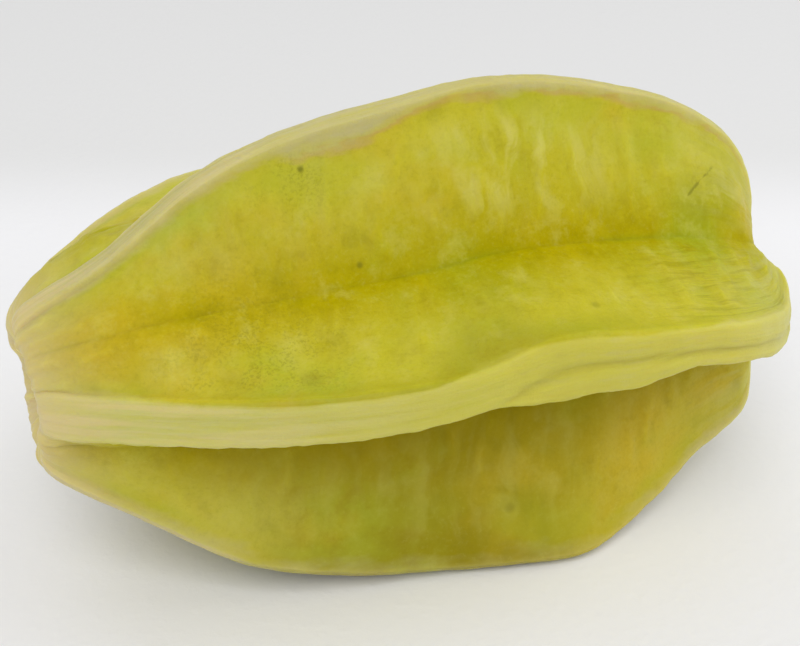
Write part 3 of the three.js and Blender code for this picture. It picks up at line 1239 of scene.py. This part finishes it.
@dataclass(frozen=True)
class Crests(Layer):
    """The pale crests, with streaks along them and a warm line inside the top one."""

    edge_wander: Grain = Grain((0.1, 0.3, 0.3), 3.0, 0.6)
    edge_wander_width: float = 0.22
    front_narrower: tuple[Hill, ...] = ((0.2, 0.27, 0.39, 0.44, 0.3), (0.46, 0.5, 0.64, 0.68, 0.18))
    top_wider: Hill = (0.33, 0.36, 0.4, 0.44, 0.08)
    edge: Step = (1.0, 1.02)
    softness: Step = (0.14, 0.34, 0.2, 0.04)
    streak_strength: float = 0.7
    line_strength: float = 0.9
    shade_near_floor: Step = (3, 14, 0.35, 1)
    beside: Hill = (0.9, 1.1, 1.12, 1.5)
    green_streaks: Step = (0.4, 0.6, 0, 0.35)
    shade_beside_front_crest: Hill = (0.2, 0.32, 0.46, 0.68, 0.36)
    front_only: Step = (1, 2, 1, 0)
    rim: Hill = (1.0, 1.02, 1.02, 1.07)
    rim_breaks: Grain = Grain((0.12, 0.05, 0.05))
    rim_unbroken: Step = (0.35, 0.5)
    rim_along: Hill = (0.25, 0.4, 0.78, 0.86, 0.6)
    belly: Step = (0.24, 0.48)
    stem: Step = (0.6, 0.74)
    past_front: Step = (1, 2)
    golden_lines: Step = (0.5, 0.66, 0, 0.16)
    grey_lines: Step = (0.34, 0.5, 0.35, 0)
    off_blossom: Step = (0.4, 0.55)
    cream: Step = (0.14, 0.42, 1, 0)
    cream_edge: Step = (0.8, 1.2, 1, 0)
    cream_streaks: Step = (0.42, 0.62, 0, 0.6)
    fold_lines: Step = (0.0, 1.0, 0.2, 1.0)
    fold_along: Step = (0.7, 0.85, 0.5, 0.2)

    def coats(self, p: SkinPoint) -> Coats:
        """Lays the crests and what lies beside them.

        Args:
            p: The point on the skin.

        Yields:
            The coats beside the crests, with painted shade, the rim's, the crests' own, the tip's and the
            fold's painted shade.
        """
        n, hues = p.n, self.hues
        streaks, lines = p.streaks(), p.lines()
        band = p.band
        for stretch in self.front_narrower:
            band = band + p.along.hill(*stretch) * p.on(Flank.FRONT_UPPER)
        wander = self.edge_wander.swing(n, p.place) * self.edge_wander_width
        edge = band + wander - p.along.hill(*self.top_wider) * p.on(Flank.TOP_NEAR)

        beside = band.hill(*self.beside)
        yield hues.green, beside * streaks.rise(*self.green_streaks)
        # Painted shade: olive on the front rib's flank just beside its crest.
        belly = p.along.hill(*self.shade_beside_front_crest) * p.face.rise(*self.front_only)
        yield hues.olive, beside * belly
        rim = edge.hill(*self.rim) * p.on(Flank.TOP_NEAR) * p.along.hill(*self.rim_along)
        unbroken = self.rim_breaks.at(n, p.place).rise(*self.rim_unbroken)
        yield hues.rim, rim * unbroken
        yield self.crest(p, lines), self.pale(p, edge, streaks, lines)
        cream = p.along.rise(*self.cream) * edge.rise(*self.cream_edge)
        yield hues.blossom, cream * streaks.rise(*self.cream_streaks)
        # Painted shade: a darker line along the fold under the front crest.
        folded = p.folded * lines.ramp(*self.fold_lines) * p.along.rise(*self.fold_along)
        yield hues.fold, folded

    def pale(self, p: SkinPoint, edge: Wire, streaks: Wire, lines: Wire) -> Wire:
        """Finds how pale the crests are.

        Args:
            p: The point on the skin.
            edge: Its band, with the crests' wandering edges at 1.
            streaks: The broad streaks there.
            lines: The fine lines there.

        Returns:
            How much of the crests' colour there is.
        """
        softness = p.along.rise(*self.softness)
        inner, outer = self.edge
        within = 1 - edge.ramp(inner - softness, outer + softness)
        streaked = streaks * self.streak_strength + lines * self.line_strength
        # The crests are less pale near the floor: painted shade.
        return (within * streaked).least(1) * p.z.rise(*self.shade_near_floor)

    def crest(self, p: SkinPoint, lines: Wire) -> Wire:
        """Colours the crests along the fruit, with golden and grey lines.

        Args:
            p: The point on the skin.
            lines: The fine lines there.

        Returns:
            The crests' own colour.
        """
        n, hues = p.n, self.hues
        crest = n.tint(hues.crest, hues.belly_crest, p.along.rise(*self.belly))
        crest = n.tint(crest, hues.stem_crest, p.along.rise(*self.stem))
        crest = n.tint(crest, hues.far_crest, p.face.rise(*self.past_front))
        off_blossom = p.along.rise(*self.off_blossom)
        crest = n.tint(crest, hues.golden, lines.rise(*self.golden_lines) * off_blossom)
        return n.tint(crest, hues.far_crest, lines.rise(*self.grey_lines) * off_blossom)


@dataclass(frozen=True)
class Shoulders(Layer):
    """The paler flanks towards the stem, with fine lines and creases that draw in to it."""

    grain: Grain = Grain(1.0, 3.0, 0.6)
    bends: Grain = Grain(0.12)
    bend: float = 1.5
    line_length: float = 9.0
    fineness: float = 11.0
    face_shift: float = 5.0
    along: Step = (0.66, 0.84)
    down: Step = (0.5, 0.95, 1, 0)
    near_crest: Step = (0.15, 0.5, 0.35, 0)
    pale_lines: Step = (0.38, 0.62, 0, 0.5)
    painted_crease_shade: Step = (0.36, 0.5, 0.3, 0)
    off_crest: Step = (0, 0.05)

    def coats(self, p: SkinPoint) -> Coats:
        """Pales the shoulders, draws their lines, and paints shade in their creases.

        Args:
            p: The point on the skin.

        Yields:
            The coats of all three.
        """
        n, hues = p.n, self.hues
        bend = self.bends.at(n, p.place) * self.bend
        lengthwise = p.down * self.fineness + bend
        where = n.vector(p.x / self.line_length, lengthwise, p.face * self.face_shift)
        lines = self.grain.at(n, where).rise(*self.pale_lines)
        shoulder = p.along.rise(*self.along) * p.down.rise(*self.down)
        yield hues.stem_crest, shoulder * p.down.rise(*self.near_crest)
        yield hues.crest, shoulder * lines
        # Painted shade: olive in the troughs of the creases near the stem.
        dark = p.creases().rise(*self.painted_crease_shade) * p.creased() * p.down.rise(*self.off_crest)
        yield hues.olive, dark


@dataclass(frozen=True)
class Blemishes(Layer):
    """Fine stipple, a few specks and one thin scratch."""

    specks: tuple[Mark, ...] = (
        Mark((-17.0, -1.8, 60.7), 0.7),
        Mark((-11.1, -9.2, 48.6), 0.7, 0.8),
        Mark((17.4, -24.5, 45.1), 1.0, 0.5),
        Mark((8.0, -20.7, 10.1), 1.2, 0.5),
        Mark((-22.6, -24.1, 41.4), 2.4, 0.35),
    )
    speck_strength: float = 0.75
    stippled: tuple[Mark, ...] = (
        Mark((-28, -19.5, 42.7), 18),
        Mark((-18.5, -2.0, 60.1), 9, 0.8),
    )
    stipple_strength: float = 0.26
    stipple_elsewhere: float = 0.06
    dots: Grain = Grain(2.4, 2.0, 0.6)
    dotted: Step = (0.44, 0.66)
    thickness: Grain = Grain(0.3, 3.0, 0.6)
    thick: Step = (0.35, 0.6)
    off_crest: Step = (0, 0.1)
    scratch: tuple[tuple[float, float, float], ...] = (
        (47.2, -3.0, 51.8), (44.5, -4.3, 50.7), (41.8, -5.8, 49.3),
    )
    scratch_grain: Grain = Grain(0.9)
    scratch_bare: float = 0.4
    scratch_roughness: float = 1.6
    scratch_width: Step = (0.05, 0.45, 0.6, 0)

    def coats(self, p: SkinPoint) -> Coats:
        """Marks the skin.

        Args:
            p: The point on the skin.

        Yields:
            The coats of the stipple, specks and scratch.
        """
        n, speck = p.n, self.hues.speck
        dots = self.dots.at(n, p.place).rise(*self.dotted) * p.down.rise(*self.off_crest)
        thick = self.thickness.at(n, p.place).rise(*self.thick)
        strength = p.spots(self.stippled) * self.stipple_strength + self.stipple_elsewhere
        yield speck, dots * thick * strength
        yield speck, p.spots(self.specks) * self.speck_strength
        yield speck, self.scratched(p)

    def scratched(self, p: SkinPoint) -> Wire:
        """Draws the scratch, which fades out over its half width.

        Args:
            p: The point on the skin.

        Returns:
            The scratch's strength there.
        """
        rough = (self.scratch_grain.at(p.n, p.place) - self.scratch_bare) * self.scratch_roughness
        nearest: Link = FAR_OFF
        for start, end in zip(self.scratch, self.scratch[1:]):
            line = Vector(end) - Vector(start)
            from_start = p.place - start
            share = (from_start.dot(tuple(line)) * (1 / line.length_squared)).most(0).least(1)
            beside = from_start - p.n.vector(*(share * step for step in line))
            nearest = beside.dot(beside).does("SQRT").least(nearest)
        return (nearest + rough.most(0)).rise(*self.scratch_width)


@dataclass(frozen=True)
class Ends(Layer):
    """The pale blossom tip and the dry scars, where the ribs meet the axis."""

    tip: Step = (0.125, 0.22, 0.85, 0)
    tip_opens: Step = (0.04, 0.125, 0.4, 1)
    blossom_scar: Step = (0.02, 0.05, 0.9, 0)
    stem_scar: Step = (0.955, 0.975, 0, 0.9)

    def coats(self, p: SkinPoint) -> Coats:
        """Pales the tip and dries both scars.

        Args:
            p: The point on the skin.

        Yields:
            The tip's coat, then the scars'.
        """
        tip = p.along.rise(*self.tip) * p.along.rise(*self.tip_opens)
        yield self.hues.blossom, tip
        dry = p.along.rise(*self.blossom_scar).most(p.along.rise(*self.stem_scar))
        yield self.hues.scar, dry


@dataclass(frozen=True)
class WaxySkin:
    """The fruit's thin waxy skin: yellow-green, a little translucent, paler on the crests."""

    name: str = "waxy_skin"
    layers: tuple[Layer, ...] = (
        Ground(), Patches(), Overhang(), Veins(), Crests(), Shoulders(), Blemishes(), Ends(),
    )
    gloss_grain: Grain = Grain(0.35, 3.0)
    roughness: float = 0.34
    rougher: float = 0.16
    pores: Grain = Grain(2.2, 2.0, 0.6)
    line_height: Step = (0.9, 1.1, 2.5, 0)
    crease_height: Step = (0.9, 1.1, 0, 7)
    bump_strength: float = 0.35
    bump_depth: float = 0.0002
    translucence: float = 0.6
    light_reach: tuple[float, float, float] = (1.0, 0.8, 0.15)
    light_depth: float = 0.005
    specular: float = 0.03
    wax: Step = (0.35, 0.9, 0.2, 0)
    wax_roughness: float = 0.38

    def height(self, p: SkinPoint) -> Wire:
        """Adds up the finest relief: pores, lines along the crests, and creases near the stem.

        Args:
            p: The point on the skin.

        Returns:
            The relief's height there.
        """
        lines = p.lines() * p.band.rise(*self.line_height)
        creases = p.creases() * p.creased() * p.band.rise(*self.crease_height)
        return self.pores.at(p.n, p.place) + lines + creases

    def build(self) -> bpy.types.Material:
        """Makes the material.

        Returns:
            The material.
        """
        n = ShaderNodes(self.name)
        p = SkinPoint(n)
        colour: Link = Pigments.flank
        for layer in self.layers:
            colour = layer.lay(p, colour)
        return n.finish({
            "Base Color": colour,
            "Roughness": self.gloss_grain.at(n, p.place) * self.rougher + self.roughness,
            "Normal": n.bump(self.height(p), self.bump_strength, self.bump_depth),
            "Subsurface Weight": self.translucence,
            "Subsurface Radius": self.light_reach,
            "Subsurface Scale": self.light_depth,
            "Specular IOR Level": self.specular,
            "Coat Weight": p.down.rise(*self.wax),
            "Coat Roughness": self.wax_roughness,
        })


@dataclass(frozen=True)
class PalePlain:
    """The stage's pale floor: faintly beaded, with a painted lighter band at the edge behind the fruit and
    painted shade, greyer, past it.
    """

    name: str = "pale_floor"
    near: Colour = (0.86, 0.86, 0.88, 1)
    edge: Colour = (0.88, 0.88, 0.90, 1)
    far: Colour = (0.77, 0.77, 0.77, 1)
    heading: float = -19.5
    edge_begins: Step = (60, 90)
    edge_ends: Step = (90, 144)
    bead_fineness: float = 0.4
    pits: Grain = Grain(0.5, 3.0)
    pitted: Step = (0.35, 0.75)
    bump_strength: float = 0.12
    bump_depth: float = 0.0005
    roughness: float = 0.8
    specular: float = 0.2

    def build(self) -> bpy.types.Material:
        """Makes the material.

        Returns:
            The material.
        """
        n = ShaderNodes(self.name)
        place = n.place()
        turn = math.radians(self.heading)
        away = place.dot((-math.sin(turn), math.cos(turn), 0))
        # Painted light and shade: a brighter band behind the fruit, then greyer, as a dimmer backdrop would
        # look.
        colour = n.tint(self.near, self.edge, away.rise(*self.edge_begins))
        colour = n.tint(colour, self.far, away.rise(*self.edge_ends))
        sockets = {"Vector": place, "Scale": self.bead_fineness}
        beads = n.add("ShaderNodeTexVoronoi", None, sockets, "Distance")
        height = (1 - beads) * self.pits.at(n, place).rise(*self.pitted)
        return n.finish({
            "Base Color": colour,
            "Roughness": self.roughness,
            "Specular IOR Level": self.specular,
            "Normal": n.bump(height, self.bump_strength, self.bump_depth),
        })


@dataclass(frozen=True)
class Softbox:
    """One square softbox: where it hangs and how long its side is, in metres, and its watts."""

    name: str
    place: tuple[float, float, float]
    size: float
    power: float

    def hang(self, aim: Sequence[float]) -> None:
        """Hangs the softbox.

        Args:
            aim: The point that it faces.
        """
        lamp = bpy.data.lights.new(self.name, "AREA")
        lamp.size = self.size
        lamp.energy = self.power
        light = new_object(self.name, lamp)
        light.location = self.place
        facing = Vector(aim) - Vector(self.place)
        light.rotation_euler = facing.to_track_quat("-Z", "Y").to_euler()


@dataclass
class Studio:
    """The pale floor, the soft lights and the camera. Lengths are in metres, and angles in degrees."""

    half_size: float = 6.0
    softboxes: tuple[Softbox, ...] = (
        Softbox("front_softbox", (-0.3, -0.6, 0.85), 0.7, 5.8),
        Softbox("back_softbox", (-0.1, 0.7, 0.6), 0.6, 1.0),
        Softbox("right_softbox", (0.75, -0.1, 0.5), 0.5, 2.2),
    )
    softboxes_face: tuple[float, float, float] = (0.0, 0.0, 0.03)
    dome_colour: Colour = (1.0, 1.0, 1.0, 1.0)
    dome_strength: float = 0.515
    azimuth: float = -19.5
    elevation: float = 30.5
    distance: float = 0.2095
    target: tuple[float, float, float] = (-0.00155, 0.00125, 0.03169)
    focal_pixels: float = 1382.0
    sensor: float = 36.0
    clip_start: float = 0.01

    def build_floor(self) -> bpy.types.Object:
        """Makes the floor, wide enough for any view from above it.

        Returns:
            The floor.
        """
        reach = self.half_size
        points = [(-reach, -reach, 0), (reach, -reach, 0), (reach, reach, 0), (-reach, reach, 0)]
        mesh = bpy.data.meshes.new("floor")
        mesh.from_pydata(points, [], [tuple(range(len(points)))])
        mesh.materials.append(PalePlain().build())
        return new_object("floor", mesh)

    def build_lights(self) -> None:
        """Makes the soft studio light: an even dome and large softboxes."""
        world = bpy.data.worlds.new("studio")
        world.use_nodes = True
        background = world.node_tree.nodes["Background"]
        background.inputs["Color"].default_value = self.dome_colour
        background.inputs["Strength"].default_value = self.dome_strength
        bpy.context.scene.world = world
        for softbox in self.softboxes:
            softbox.hang(self.softboxes_face)

    def build_camera(self) -> None:
        """Makes the camera, looking down on the fruit's front rib."""
        across, above = math.radians(self.azimuth), math.radians(self.elevation)
        back = Vector((
            math.sin(across) * math.cos(above),
            -math.cos(across) * math.cos(above),
            math.sin(above),
        ))
        lens = bpy.data.cameras.new("camera")
        lens.sensor_width = self.sensor
        lens.lens = self.sensor * self.focal_pixels / FRAME_WIDTH
        lens.clip_start = self.clip_start
        camera = new_object("camera", lens)
        camera.location = Vector(self.target) + back * self.distance
        camera.rotation_euler = (-back).to_track_quat("-Z", "Y").to_euler()
        bpy.context.scene.camera = camera

    def build(self) -> None:
        """Sets the stage."""
        self.build_floor()
        self.build_lights()
        self.build_camera()
        bpy.context.scene.view_settings.view_transform = "Standard"
        bpy.context.scene.cycles.use_denoising = True


def main() -> None:
    """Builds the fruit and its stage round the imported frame."""
    logging.basicConfig(level=logging.INFO, format="%(name)s: %(message)s")
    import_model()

    fruit = FruitSkin()
    skin = fruit.build(WaxySkin().build())
    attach(skin, "root")
    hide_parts(fruit.node)
    log.info("%s: %d faces", skin.name, len(skin.data.polygons))

    Studio().build()


if __name__ == "__main__":
    main()
